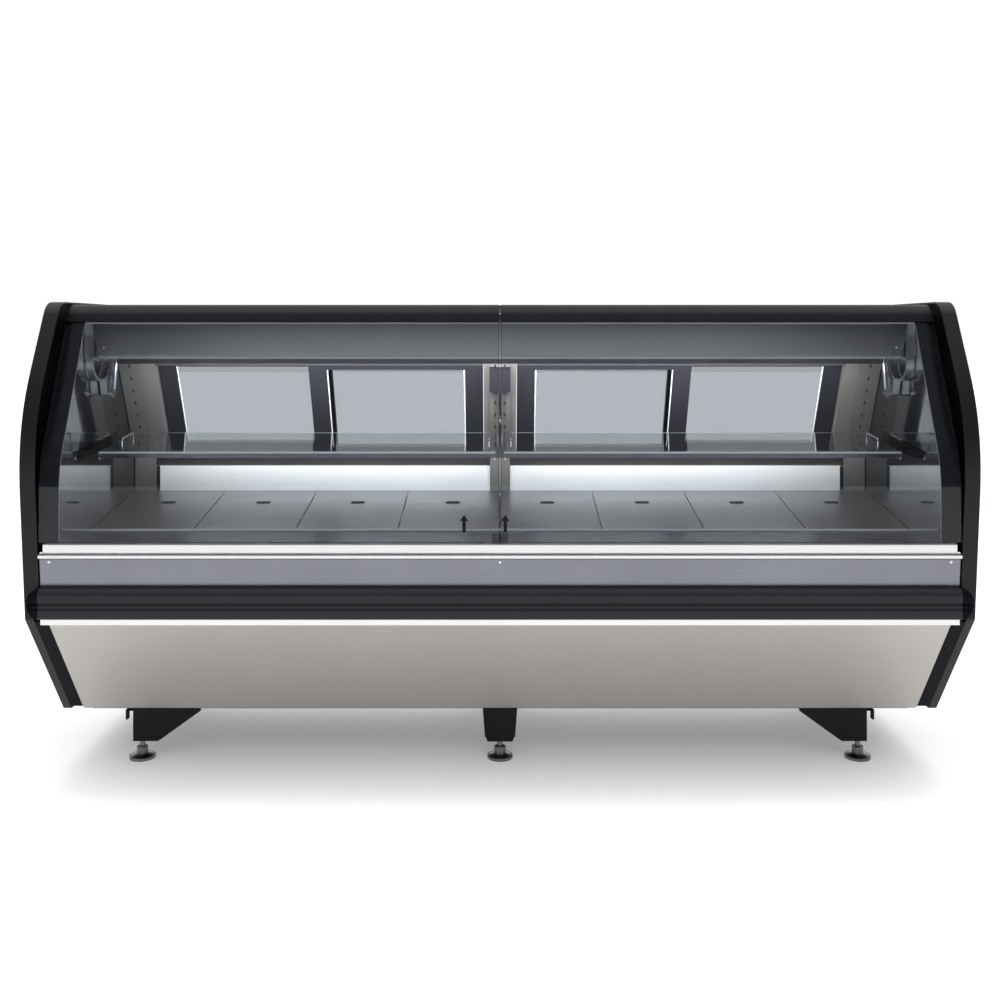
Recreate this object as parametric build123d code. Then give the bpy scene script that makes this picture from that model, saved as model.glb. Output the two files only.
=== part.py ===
from build123d import *
import math
import os

# Refrigerated deli case, 2.5 m wide, free-standing on levelling feet.
# Frame: +X to the customer's right, -Y is the customer's side (front), +Z up.
# The origin is the centre of the footprint, on the floor. All sizes are in millimetres.
# Cross-sections are written as (s, z): s is the distance behind the foremost plane,
# z the height above the floor. Most pieces are such a section, extruded along X.

# ---- driving dimensions ----
WIDTH = 2500.0
DEPTH = 920.0
TOP_Z = 1328.0
END_THICKNESS = 40.0
INNER_HALF_X = 1200.0          # face of the end liners
BODY_Z = 166.0                 # underside of the end panels and front panel
FRAME_Z = 154.0                # underside of the chassis
FLOOR_Z = 194.0                # machine floor, on top of the chassis
GLASS_T = 6.0
SHEET_T = 1.5
LEAN_DEG = 27.7                # rear doors lean forward at the top
DOOR_FOOT = (780.0, 832.0)     # inner lower corner of the door opening, (s, z)
HINGE = (312.0, 1306.0)        # axis of the front glass
STRUT_TOP = (528.0, 1291.0)    # fixed eye of each gas strut
STRUT_PIN = (457.0, 1061.0)    # moving pin on each lift arm, glass closed
FOOT_S = (367.0, 800.0)
FOOT_X = (-1046.0, 0.0, 1046.0)

HALF_DEPTH = DEPTH / 2
HALF_WIDTH = WIDTH / 2
PANEL_INNER_X = HALF_WIDTH - END_THICKNESS
TRIM_X = PANEL_INNER_X - 3
LINED_X = INNER_HALF_X - 0.5
HINGE_PIN_R = 4.0
RUNNING = 0.06                 # radial clearance of pins, rods and shafts

FRONT_PLANE = Plane(origin=(0, 0, 0), x_dir=(1, 0, 0), z_dir=(0, -1, 0))

os.makedirs("parts", exist_ok=True)


# ---- helpers ----
def save(node, *solids):
    """Write one node as one STEP file, each solid separate."""
    export_step(Compound(children=list(solids)), f"parts/{node}.step")


def prism(points, x0, x1, radii=None):
    """Extrude a closed (s, z) outline from x0 to x1, its corners rounded by radii."""
    corner_radii = radii or [0] * len(points)
    flat = [(s - HALF_DEPTH, z) for s, z in points]
    face = make_face(FilletPolyline(*flat, radius=corner_radii, close=True))
    return Pos(x0, 0, 0) * extrude(Plane.YZ * face, amount=x1 - x0)


def block(x0, x1, s0, s1, z0, z1):
    """Axis-aligned box between two corners."""
    centre = Pos((x0 + x1) / 2, (s0 + s1) / 2 - HALF_DEPTH, (z0 + z1) / 2)
    return centre * Box(x1 - x0, s1 - s0, z1 - z0)


def offset_path(points, distance):
    """Shift an open path to its left by distance, with mitred corners."""
    directions = []
    for (s0, z0), (s1, z1) in zip(points, points[1:]):
        length = math.hypot(s1 - s0, z1 - z0)
        directions.append(((s1 - s0) / length, (z1 - z0) / length))
    shifted = []
    for i, (s, z) in enumerate(points):
        before = directions[max(i - 1, 0)]
        after = directions[min(i, len(directions) - 1)]
        normal = (-(before[1] + after[1]), before[0] + after[0])
        scale = 2 * distance / (normal[0] ** 2 + normal[1] ** 2)
        shifted.append((s + normal[0] * scale, z + normal[1] * scale))
    return shifted


def turn(points, i):
    """Positive where the path turns left at point i."""
    (a, b), (c, d), (e, f) = points[i - 1], points[i], points[i + 1]
    return (c - a) * (f - d) - (d - b) * (e - c)


def sheet(points, thickness, x0, x1, radii=None):
    """Folded sheet: a path of (s, z) points, its thickness laid on the path's left."""
    bends = radii or [0] * (len(points) - 2)
    inner = offset_path(points, thickness)
    other_side = []
    for i, radius in enumerate(bends, start=1):
        change = -thickness if turn(points, i) > 0 else thickness
        other_side.append(max(radius + change, 0) if radius else 0)
    outline_radii = [0, *bends, 0, 0, *reversed(other_side), 0]
    return prism(points + inner[::-1], x0, x1, outline_radii)


def both_ends(solid):
    """A solid at the right-hand end and its mirror image at the left."""
    return [solid, mirror(solid, about=Plane.YZ)]


def rod_along_x(s, z, radius, x0, x1):
    """Round bar along X."""
    start = Plane(origin=(x0, s - HALF_DEPTH, z), x_dir=(0, 1, 0), z_dir=(1, 0, 0))
    return extrude(start * Circle(radius), amount=x1 - x0)


def rod_between(x, start, end, radius):
    """Round bar in the plane at x, between two (s, z) points."""
    base = Vector(x, start[0] - HALF_DEPTH, start[1])
    tip = Vector(x, end[0] - HALF_DEPTH, end[1])
    along = Plane(origin=base, z_dir=tip - base)
    return extrude(along * Circle(radius), amount=(tip - base).length)


def between(start, end, distance):
    """The (s, z) point at a distance from start towards end."""
    length = math.hypot(end[0] - start[0], end[1] - start[1])
    share = distance / length
    return (start[0] + (end[0] - start[0]) * share, start[1] + (end[1] - start[1]) * share)


# ---- the leaning plane of the rear doors ----
LEAN = math.radians(LEAN_DEG)
DOOR_PLANE = Plane(
    origin=(0, DOOR_FOOT[0] - HALF_DEPTH, DOOR_FOOT[1]),
    x_dir=(1, 0, 0),
    z_dir=(0, -math.cos(LEAN), -math.sin(LEAN)),
)


def lean_box(x0, x1, up0, up1, out0, out1):
    """Box in the door plane: up runs up the lean, out is towards the clerk's side."""
    centre = Pos((x0 + x1) / 2, (up0 + up1) / 2, -(out0 + out1) / 2)
    return DOOR_PLANE.location * centre * Box(x1 - x0, up1 - up0, out1 - out0)


def lean_point(up, out):
    """The (s, z) place of a point given up the lean and out of the door plane."""
    s = DOOR_FOOT[0] + out * math.cos(LEAN) - up * math.sin(LEAN)
    z = DOOR_FOOT[1] + out * math.sin(LEAN) + up * math.cos(LEAN)
    return (s, z)


# ---- end panels: moulded shells that set the side view ----
FRONT_KNEE = (35.0, 488.0)
FRONT_TOE = (299.0, BODY_Z)
END_OUTLINE = [
    (174, TOP_Z), (599, TOP_Z), (860, 832), (860, BODY_Z),
    FRONT_TOE, FRONT_KNEE, (0, 850), (0, 1018),
]
END_RADII = [64, 20, 20, 10, 8, 14, 600, 489]
SHELL_T = 5.0
CORNER_WIDTH = 34.5            # lower corner profile, seen from the front
CORNER_DEPTH = 29.0
CORNER_OUTER_X = 1227.5


def toe_strip(depth, lead):
    """Band along the sloping lower front edge, depth thick, ends moved in by lead."""
    start = between(FRONT_KNEE, FRONT_TOE, lead)
    end = between(FRONT_TOE, FRONT_KNEE, lead)
    return [start, end, *reversed(offset_path([start, end], depth))]


def end_panel():
    """Right-hand end panel: a shell, open on its inner face."""
    panel = prism(END_OUTLINE, PANEL_INNER_X, HALF_WIDTH, END_RADII)
    flat = [(s - HALF_DEPTH, z) for s, z in END_OUTLINE]
    face = make_face(FilletPolyline(*flat, radius=END_RADII, close=True))
    inset = offset(face, amount=-SHELL_T)
    hollow = Pos(PANEL_INNER_X - 1, 0, 0) * extrude(
        Plane.YZ * inset, amount=END_THICKNESS + 1 - SHELL_T
    )
    solid_toe = prism(toe_strip(CORNER_DEPTH + SHELL_T, -40), PANEL_INNER_X - 5, HALF_WIDTH + 5)
    rebate = prism(toe_strip(CORNER_DEPTH + 0.5, -40), PANEL_INNER_X - 1, CORNER_OUTER_X + 0.5)
    return panel - (hollow - solid_toe) - rebate


def corner_profile():
    """Right-hand rounded extrusion down the sloping front corner, notched for the trim strip."""
    outline = toe_strip(CORNER_DEPTH, 9)
    x1 = CORNER_OUTER_X
    profile = prism(outline, x1 - CORNER_WIDTH, x1, [4, 4, 4, 4])
    return profile - block(x1 - CORNER_WIDTH - 1, TRIM_X + 0.5, 0, 100, 473.5, 520)


LINER_T = 8.0
LINER_OUTLINE = [
    (32, 702), (165, 702), (165, 570), (772, 570), (772, 832),
    (530, 1292), (230, 1292), (32, 880),
]


def end_liner():
    """Right-hand glossy liner that closes the end panel's shell."""
    return prism(LINER_OUTLINE, INNER_HALF_X, INNER_HALF_X + LINER_T)


# ---- chassis, legs and feet ----
RAIL_S = (335.0, 375.0)
REAR_RAIL_S = (790.0, 830.0)
RAIL_HALF_X = 1180.0
CROSS_X = (-1160.0, -540.0, 0.0, 540.0, 1160.0)
FLOOR_T = 2.0
ON_FLOOR = FLOOR_Z + FLOOR_T + 0.2
LEG_TOP_Z = FRAME_Z - 0.1
LEG_FOOT_Z = 58.0
LEG_WALL = 4.0
LEG_HALF_DEPTH = 30.0
STUD_R = 8.0


def base_frame():
    """Welded chassis: two long rails and five cross members."""
    frame = block(-RAIL_HALF_X, RAIL_HALF_X, *RAIL_S, FRAME_Z, FLOOR_Z)
    frame += block(-RAIL_HALF_X, RAIL_HALF_X, *REAR_RAIL_S, FRAME_Z, FLOOR_Z)
    for x in CROSS_X:
        frame += block(x - 20, x + 20, RAIL_S[0], REAR_RAIL_S[1], FRAME_Z, FLOOR_Z)
    return frame


def leg_channel(x0, x1, s):
    """Leg body: a folded channel with a foot plate and a top plate, open to the rear."""
    low, high = sorted((x0, x1))
    body = block(low, high, s - LEG_HALF_DEPTH, s + LEG_HALF_DEPTH, LEG_FOOT_Z, LEG_TOP_Z)
    return body - block(
        low + LEG_WALL, high - LEG_WALL, s - LEG_HALF_DEPTH + LEG_WALL, s + LEG_HALF_DEPTH + 1,
        LEG_FOOT_Z + 6, LEG_TOP_Z - 5,
    )


def front_plate(outline, s, thickness):
    """Plate with an (x, z) outline, its front face at s."""
    face = make_face(Polyline(*outline, close=True))
    return Pos(0, s - HALF_DEPTH, 0) * extrude(FRONT_PLANE * face, amount=-thickness)


def outer_leg(x, s):
    """Right or left leg, with a gusset towards the middle and a cable clip outside."""
    inside = -1 if x > 0 else 1
    outer_edge = x - inside * 18
    edge = x + inside * 46
    far = edge + inside * 132
    gusset = [
        (edge - inside, LEG_TOP_Z), (far, LEG_TOP_Z), (far, LEG_TOP_Z - 8),
        (edge + inside * 18, LEG_FOOT_Z + 6), (edge + inside * 8, LEG_FOOT_Z),
        (edge - inside, LEG_FOOT_Z),
    ]
    tab = (outer_edge, outer_edge - inside * 14)
    hook = (tab[1] - inside * 6, tab[1])
    body = leg_channel(outer_edge, edge, s) + front_plate(gusset, s - LEG_HALF_DEPTH, 5)
    body += block(min(tab), max(tab), s - 20, s - 16, LEG_TOP_Z - 12, LEG_TOP_Z)
    return body + block(min(hook), max(hook), s - 34, s - 16, LEG_TOP_Z - 32, LEG_TOP_Z - 4)


def centre_leg(x, s):
    """Middle leg, with a wider tapered front plate."""
    flange = [
        (x - 50, LEG_TOP_Z), (x + 50, LEG_TOP_Z), (x + 44, LEG_FOOT_Z + 16),
        (x + 34, LEG_FOOT_Z), (x - 34, LEG_FOOT_Z), (x - 44, LEG_FOOT_Z + 16),
    ]
    return leg_channel(x - 38, x + 38, s) + front_plate(flange, s - LEG_HALF_DEPTH - 4, 4)


def leg(x, s):
    """Leg over one foot, drilled for its stud."""
    body = outer_leg(x, s) if x else centre_leg(x, s)
    return body - Pos(x, s - HALF_DEPTH, LEG_FOOT_Z + 3) * Cylinder(STUD_R + RUNNING, 20)


def levelling_foot(x, s):
    """Disc, hexagon and threaded stud of one foot, in one piece."""
    at = Pos(x, s - HALF_DEPTH, 0)
    disc = Pos(0, 0, 4) * Cylinder(37, 8)
    dome = Pos(0, 0, 10) * Cone(34, 18, 4)
    hexagon = Pos(0, 0, 12) * extrude(RegularPolygon(17, 6), amount=22)
    stud = Pos(0, 0, 34) * Cylinder(STUD_R, 76, align=(Align.CENTER, Align.CENTER, Align.MIN))
    return at * (disc + dome + hexagon + stud)


def base_tray():
    """Sheet floor of the machine compartment, on the chassis."""
    return block(-1205, 1205, 340, 846, FLOOR_Z, FLOOR_Z + FLOOR_T)


# ---- front skin below the glass ----
BUMPER_BACK = 30.5
BUMPER_END_X = 1205.0
BUMPER_CAP_X = 1236.0


def lower_front_panel():
    """Sloping stainless panel with folded edges."""
    top = between(FRONT_KNEE, FRONT_TOE, 20)
    toe = between(FRONT_TOE, FRONT_KNEE, 1.5)
    return sheet([(330, toe[1]), toe, top, (76, top[1])][::-1], 2, -1192, 1192, [3, 3])


def lower_trim_strip():
    """Aluminium angle between bumper and lower panel."""
    return sheet([(60, 489), (29, 489), (29, 475)], 2, -TRIM_X, TRIM_X)


def bumper_outline(back):
    """Moulded bumper section: a full upper roll, a bead and a flat lower lip."""
    return [
        (back, 494), (8, 494), (5, 498), (5, 518), (9, 521), (9, 524), (6, 526),
        (6, 531), (9, 533), (9, 536), (3, 540), (3, 562), (14, 575), (back, 576),
    ]


BUMPER_RADII = [0, 3, 6, 4, 1, 1, 2, 2, 1, 1, 8, 16, 10, 0]


def front_bumper():
    """Black moulded bumper along the front."""
    return prism(bumper_outline(BUMPER_BACK), -BUMPER_END_X, BUMPER_END_X, BUMPER_RADII)


def bumper_end_cap():
    """Right-hand moulded end of the bumper, round as seen from the front."""
    cap = prism(bumper_outline(26), BUMPER_END_X, BUMPER_CAP_X, BUMPER_RADII)
    arc = ThreePointArc((BUMPER_END_X, 577), (BUMPER_CAP_X, 535), (BUMPER_END_X, 493))
    face = make_face([arc, Line((BUMPER_END_X, 493), (BUMPER_END_X, 577))])
    return cap & extrude(FRONT_PLANE * face, amount=DEPTH)


def front_fascia():
    """Stainless band between the glass rail and the bumper."""
    path = [(60, 650.4), (23, 650.4), (BUMPER_BACK + 0.1, 576), (BUMPER_BACK + 0.1, 492), (60, 492)]
    return sheet(path, SHEET_T, -TRIM_X, TRIM_X, [2, 0, 2])


def glass_sill_rail():
    """Aluminium rail that the glass closes on."""
    outline = [(7, 671), (22, 671), (22, 686), (58, 686), (58, 692), (9, 692), (7, 689)]
    return prism(outline, -1192, 1192)


def ledge_trim_strip():
    """Aluminium bead under the glass rail."""
    outline = [(9, 653), (50, 653), (50, 668), (22, 668), (22, 663), (9, 663)]
    return prism(outline, -1206, 1206, [2, 0, 0, 0, 0, 2])


def glass_catch():
    """Black block behind the glass at the middle, which locates both panes."""
    return prism([(27, 695.2), (52, 696.5), (52, 710), (44, 716), (27, 716)], -21, 21, [0, 0, 3, 3, 0])


# ---- insulated tub and display deck ----
TUB_PATH = [(153, 683), (160, 600), (300, 562), (700, 562), (782, 640), (782, 716)]
DECK_FRONT = (160.0, 631.0)
DECK_REAR = (768.0, 720.0)
TRAYS = 8
TRAY_PITCH = 299.5
TRAY_T = 3.0
TRAY_GAP = 3.5
FINGER_HOLE_S = 637.0


def deck_z(s):
    """Height of the deck's underside at s."""
    rise = (DECK_REAR[1] - DECK_FRONT[1]) / (DECK_REAR[0] - DECK_FRONT[0])
    return DECK_FRONT[1] + (s - DECK_FRONT[0]) * rise


def front_ledge():
    """Stainless ledge from the glass rail to the lip over the deck."""
    return sheet([(26, 692.7), (150, 700), (150, 684)], SHEET_T, -LINED_X, LINED_X)


def tub_liner():
    """Stainless trough under the deck."""
    return sheet(TUB_PATH, SHEET_T, -LINED_X, LINED_X)


def return_panel():
    """Polished panel behind the deck, where the cold air returns."""
    return block(-1118, 1118, 778, 779.5, 721, 804)


def tub_insulation():
    """Foamed body of the tub, around the stainless liner."""
    inner = offset_path(TUB_PATH, -0.6)
    outer = [(786, 797), (846, 797), (846, 492), (64, 492), (64, 684)]
    return prism([*inner, *outer], -LINED_X, LINED_X)


def deck_tray(index):
    """Lift-out deck plate with a finger hole."""
    x0 = (index - TRAYS / 2) * TRAY_PITCH + TRAY_GAP / 2
    x1 = x0 + TRAY_PITCH - TRAY_GAP
    corners = [DECK_FRONT, DECK_REAR]
    plate = prism(corners + offset_path(corners, TRAY_T)[::-1], x0, x1)
    hole_at = Pos((x0 + x1) / 2, FINGER_HOLE_S - HALF_DEPTH, deck_z(FINGER_HOLE_S) - 20)
    return plate - hole_at * extrude(SlotOverall(44, 18), amount=50)


# ---- top, hood and lamps ----
HOOD_PATH = [(430, 1150), (424, 1168), (409, 1170), (334, 1264), (334, 1292), (470, 1292)]


def top_panel():
    """Black top cover behind the glass hinge."""
    return sheet([(596, 1303), (596, 1321), (326, 1321), (326, 1303)], 2, -1208, 1208, [3, 3])


def light_hood():
    """Polished reflector under the top; its lip is notched at the ends for the struts."""
    hood = sheet(HOOD_PATH, -SHEET_T, -1186, 1186)
    for x0, x1 in ((-1190, -1143), (1143, 1190)):
        hood -= block(x0, x1, 411, 440, 1140, 1175)
    return hood


def lamp_tube(x0, x1):
    """Lamp tube with its two end holders."""
    lamp = rod_along_x(447, 1176, 9, x0 + 12, x1 - 12)
    for end in (x0, x1 - 16):
        lamp += block(end, end + 16, 434, 460, 1163, 1189)
    return lamp


# ---- shelf, uprights and brackets ----
UPRIGHT_PATH = [(774, 723), (774, 830), (774 - 410 * math.tan(LEAN), 1240)]
SHELF_FRONT = (346.0, 889.0)
SHELF_REAR = (646.0, 918.0)
SHELF_T = 6.0
SHELF_X = (12.0, 1163.0)


def upright(x0, x1, slot_columns):
    """Folded standard with rows of bracket slots."""
    post = sheet(UPRIGHT_PATH, 2, x0, x1)
    for column in slot_columns:
        for row in range(8):
            up = 70 + row * 45
            post -= lean_box(column - 2.5, column + 2.5, up, up + 14, -25, 5)
    return post


def shelf_bracket(x):
    """Tapered cantilever arm under one end of a shelf."""
    rear_top = (SHELF_REAR[0] + 58, SHELF_REAR[1] + 5)
    outline = [
        (SHELF_FRONT[0] + 2, SHELF_FRONT[1] - 1), rear_top,
        (rear_top[0] + 4, rear_top[1] - 8), (rear_top[0] + 20, rear_top[1] - 52),
        (SHELF_FRONT[0] + 2, SHELF_FRONT[1] - 16),
    ]
    return prism(outline, x - 1.5, x + 1.5)


def shelf_guard(x):
    """Bent wire hoop that stops goods at a shelf's end."""
    slope = math.atan2(SHELF_REAR[1] - SHELF_FRONT[1], SHELF_REAR[0] - SHELF_FRONT[0])
    foot = between(SHELF_FRONT, SHELF_REAR, 22)
    back = between(SHELF_FRONT, SHELF_REAR, 122)
    up = (-math.sin(slope) * 40, math.cos(slope) * 40)
    lift = SHELF_T + 0.3
    corners = [
        (foot[0], foot[1] + lift), (foot[0] + up[0], foot[1] + up[1]),
        (back[0] + up[0], back[1] + up[1]), (back[0], back[1] + lift),
    ]
    path = FilletPolyline(*[(x, s - HALF_DEPTH, z) for s, z in corners], radius=8)
    start = Plane(origin=path @ 0, z_dir=path % 0)
    return sweep(start * Circle(2.2), path=path)


def shelf_pane(x0, x1):
    """Tempered glass shelf, tilted towards the customer."""
    corners = [SHELF_FRONT, SHELF_REAR]
    return prism(corners + offset_path(corners, SHELF_T)[::-1], x0, x1)


def shelf_front_trim(x0, x1):
    """Aluminium price-rail edge of a shelf."""
    s, z = SHELF_FRONT
    outline = [(s - 10, z - 10), (s - 1, z - 10), (s - 1, z + 8), (s - 10, z + 8)]
    return prism(outline, x0, x1)


def centre_cover():
    """Black cover over the middle upright's head."""
    return lean_box(-33, 33, 268, 345, -34, -8.4)


def centre_rod():
    """Bright rod between the shelf and the black cover."""
    return rod_between(0, lean_point(60, -18.4), lean_point(268, -18.4), 9.5)


# ---- rear opening: tracks, jambs, doors ----
TRACK_OUT = 46.0
DOOR_TOP = 351.0
BAY_X = (53.0, 1087.0)
DOOR_W = 551.0
STILE = 57.0
INNER_TRACK = (3.5, 20.0)
OUTER_TRACK = (25.0, 42.5)


def door_track(base0, base1, rib0, rib1):
    """Grooved rail across the opening, with two tracks in each bay."""
    track = lean_box(-1199, 1199, base0, base1, 0, TRACK_OUT)
    for x0, x1 in ((-BAY_X[1], -BAY_X[0]), BAY_X):
        for out in (0, 21.5, 44):
            track += lean_box(x0, x1, rib0, rib1, out, out + 2)
    return track


def jamb(x0, x1):
    """Stainless post between the tracks, open at the back."""
    post = lean_box(x0, x1, 0.3, 352.7, 0.3, TRACK_OUT)
    return post - lean_box(x0 + 2, x1 - 2, -1, 354, 2.3, TRACK_OUT + 1)


def door(x0, track):
    """Sliding door frame and its pane."""
    x1 = x0 + DOOR_W
    out0, out1 = track
    frame = lean_box(x0, x1, 2, DOOR_TOP, out0, out1)
    window = (x0 + STILE, x1 - STILE, 34, DOOR_TOP - 24)
    frame -= lean_box(*window, out0 - 1, out1 + 1)
    for grip_x in (x0 + 18, x1 - 18):
        frame -= lean_box(grip_x - 9, grip_x + 9, 120, 220, out1 - 6, out1 + 1)
    middle = (out0 + out1) / 2
    x_left, x_right, low, high = window
    pane = lean_box(x_left + 0.3, x_right - 0.3, low + 0.3, high - 0.3, middle - 3, middle + 3)
    return frame, pane


def rear_header():
    """Closed channel above the doors."""
    header = lean_box(-1208, 1208, 372, 505, 2, 44)
    return header - lean_box(-1205, 1205, 375, 506, 5, 41)


def rear_work_shelf():
    """Stainless shelf along the clerk's side."""
    path = [(846, 828), (DEPTH, 828), (DEPTH, 802), (900, 802)]
    return sheet(path, -2, -1207, 1207, [3, 3])


def rear_lower_panel():
    """Rear cover with two louvred banks for the machine compartment."""
    panel = block(-1206, 1206, 850, 852, 172, 798)
    for bank_x in (-620, 480):
        for row in range(9):
            z = 250 + row * 26
            panel -= block(bank_x - 170, bank_x + 170, 845, 857, z, z + 9)
    return panel


# ---- front glass, lift arms and gas struts ----
GLASS_PATH = [(296, 1320), (225.5, 1320), (14, 889), (14, 694)]
GLASS_BENDS = [52, 260]
GLASS_X = (3.0, 1205.0)
KNUCKLE_R = 8.0
ARM_X = (1176.0, 1196.0)
STRUT_X = 1165.0
ARM_PATH = [HINGE, (326, 1235), (326, 1098), (472, 1098), (472, 1168)]
ARM_BENDS = [60, 66, 60]
STRUT_LENGTH = math.hypot(STRUT_TOP[0] - STRUT_PIN[0], STRUT_TOP[1] - STRUT_PIN[1])


def front_glass(x0, x1):
    """Bent pane: flat top lip, sloping face, upright lower band."""
    return sheet(GLASS_PATH, GLASS_T, x0, x1, GLASS_BENDS)


def lift_arm():
    """Right-hand hinge tube with its gooseneck arm, whose lug carries the strut pin."""
    bore = HINGE_PIN_R + RUNNING
    tube = rod_along_x(*HINGE, KNUCKLE_R, 14, ARM_X[1])
    tube += block(14, ARM_X[1], 264, HINGE[0] - 4, 1308.5, 1313.6)
    arm = sheet(ARM_PATH, 6, *ARM_X, ARM_BENDS)
    s, z = STRUT_PIN
    lug = prism([(s - 22, 1101), (s - 9, z), (s + 9, z), (s + 12, 1110), (s - 16, 1102)], *ARM_X)
    eye = rod_along_x(*STRUT_PIN, 9, *ARM_X)
    pin = rod_along_x(*STRUT_PIN, HINGE_PIN_R, STRUT_X - 12, ARM_X[1])
    return tube + arm + lug + eye + pin - rod_along_x(*HINGE, bore, 10, ARM_X[1] + 5)


def strut_rod():
    """Right-hand strut rod: fixed eye and the sliding rod."""
    eye = rod_along_x(*STRUT_TOP, 8, STRUT_X - 5, STRUT_X + 5)
    rod = rod_between(STRUT_X, between(STRUT_TOP, STRUT_PIN, 5), between(STRUT_TOP, STRUT_PIN, 198), 4)
    return eye + rod - rod_along_x(*STRUT_TOP, 3 + RUNNING, STRUT_X - 9, STRUT_X + 9)


def strut_cylinder():
    """Right-hand strut cylinder; its eye is wide, so it clears the pin all the way."""
    eye = rod_along_x(*STRUT_PIN, 14, STRUT_X - 5, STRUT_X + 5)
    barrel = rod_between(STRUT_X, between(STRUT_PIN, STRUT_TOP, 11), between(STRUT_PIN, STRUT_TOP, 166), 9)
    bore = rod_between(STRUT_X, between(STRUT_PIN, STRUT_TOP, 34), between(STRUT_PIN, STRUT_TOP, 170), 4 + RUNNING)
    return eye + barrel - bore - rod_along_x(*STRUT_PIN, 9, STRUT_X - 20, STRUT_X + 20)


def hinge_hardware():
    """Fixed hinge pin with its three plates, and the strut anchors."""
    pin = rod_along_x(*HINGE, HINGE_PIN_R, -1208, 1208)
    for x0, x1 in ((-1208, -1199), (-11, 11), (1199, 1208)):
        pin += block(x0, x1, 304, 325.8, 1297, 1314)
    anchor = block(1196, 1199.5, 514, 538, 1270, 1300)
    anchor += rod_along_x(*STRUT_TOP, 3, STRUT_X - 8, 1199)
    return [pin, *both_ends(anchor)]


# ---- refrigeration ----
FAN_HUB_R = 16.0
CONDENSER_FAN = (640.0, 338.0)
EVAPORATOR_FAN_Z = 622.0


def fan(radius, blades, thickness):
    """Axial fan about local Z, with a shaft on its +Z side."""
    wheel = Cylinder(FAN_HUB_R, thickness)
    for i in range(blades):
        blade = Pos(radius / 2 + 4, 0, 0) * Rot(35, 0, 0) * Box(radius - 8, radius * 0.55, 2)
        wheel += Rot(0, 0, i * 360 / blades) * blade
    ring = Cylinder(radius + 3, thickness) - Cylinder(radius - 2, thickness + 2)
    shaft = Pos(0, 0, thickness / 2 + 12) * Cylinder(3, 26)
    return wheel + ring + shaft


def condenser_fan():
    """Fan that draws air through the condenser, shaft towards +X."""
    at = Plane(origin=(430, CONDENSER_FAN[0] - HALF_DEPTH, CONDENSER_FAN[1]), z_dir=(1, 0, 0))
    return at.location * fan(120, 5, 22)


def evaporator_fan():
    """Fan under the deck, shaft towards the clerk's side."""
    at = Plane(origin=(0, 500 - HALF_DEPTH, EVAPORATOR_FAN_Z), z_dir=(0, 1, 0))
    return at.location * fan(40, 5, 14)


def fan_motors():
    """Both fan motors, on their brackets."""
    s, z = CONDENSER_FAN
    bore = 3 + RUNNING
    condenser = rod_along_x(s, z, 38, 456, 520) + block(470, 506, s - 12, s + 12, ON_FLOOR, z)
    condenser += block(460, 516, s - 40, s + 40, ON_FLOOR, ON_FLOOR + 4)
    condenser -= rod_along_x(s, z, bore, 440, 480)
    at = Plane(origin=(0, 522 - HALF_DEPTH, EVAPORATOR_FAN_Z), z_dir=(0, 1, 0))
    motor = extrude(at * Circle(22), amount=34)
    motor += block(-30, 30, 526, 552, 563.7, EVAPORATOR_FAN_Z - 10)
    motor -= extrude(at * Circle(bore), amount=14)
    return condenser, motor


def compressor():
    """Hermetic compressor: domed can on a mounting plate."""
    at = Pos(720, 640 - HALF_DEPTH, ON_FLOOR)
    up = (Align.CENTER, Align.CENTER, Align.MIN)
    can = Pos(0, 0, 14) * fillet(Cylinder(95, 210, align=up).edges().filter_by(GeomType.CIRCLE), 38)
    plate = Box(240, 200, 4, align=up)
    seam = Pos(0, 0, 110) * Cylinder(99, 8)
    for dx in (-95, 95):
        for dy in (-75, 75):
            plate += Pos(dx, dy, 4) * Cylinder(14, 14, align=up)
    saddle = Cylinder(60, 40, align=up)
    return at * (can + seam + plate + saddle)


def finned_coil(x0, x1, s0, s1, z0, z1, pitch):
    """Fin block: a core with a fin plate every pitch along X."""
    coil = block(x0, x1, s0 + 12, s1 - 12, z0 + 6, z1 - 6)
    count = int((x1 - x0) / pitch)
    for i in range(count + 1):
        x = x0 + i * (x1 - x0 - 3) / count
        coil += block(x, x + 3, s0, s1, z0, z1)
    return coil


def condenser_coil():
    """Condenser beside its fan, fins across the air flow."""
    coil = block(334, 382, 500, 780, ON_FLOOR + 5, 474)
    for row in range(9):
        z = ON_FLOOR + 24 + row * 27
        coil += block(330, 386, 496, 784, z, z + 3)
    return coil + block(330, 386, 496, 784, ON_FLOOR, ON_FLOOR + 5)


# ---- electrical ----
BOX_X = (700.0, 880.0)
BOX_Z = (640.0, 760.0)
BOX_FACE_S = 878.0
SWITCH = (848.0, 672.0)
SWITCH_PIVOT_S = BOX_FACE_S - 11
SWITCH_PIN_R = 2.0


def control_box():
    """Temperature controller housing with a window and a recess for the switch."""
    housing = block(*BOX_X, 852.2, BOX_FACE_S, *BOX_Z)
    housing -= block(720, 810, BOX_FACE_S - 3, BOX_FACE_S + 1, 700, 740)
    x, z = SWITCH
    housing -= block(x - 9, x + 9, BOX_FACE_S - 18, BOX_FACE_S + 1, z - 16, z + 16)
    return housing - rod_along_x(SWITCH_PIVOT_S, z, SWITCH_PIN_R + RUNNING, x - 12, x + 12)


def power_switch():
    """Rocker switch, pivoting about X."""
    x, z = SWITCH
    face = BOX_FACE_S
    pin = rod_along_x(SWITCH_PIVOT_S, z, SWITCH_PIN_R, x - 11.5, x + 11.5)
    outline = [(face - 12, z - 3), (face - 12, z + 3), (face - 1, z + 12), (face + 2, z + 12),
               (face + 0.5, z), (face + 2, z - 12), (face - 1, z - 12)]
    return prism(outline, x - 8, x + 8) + pin


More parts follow.
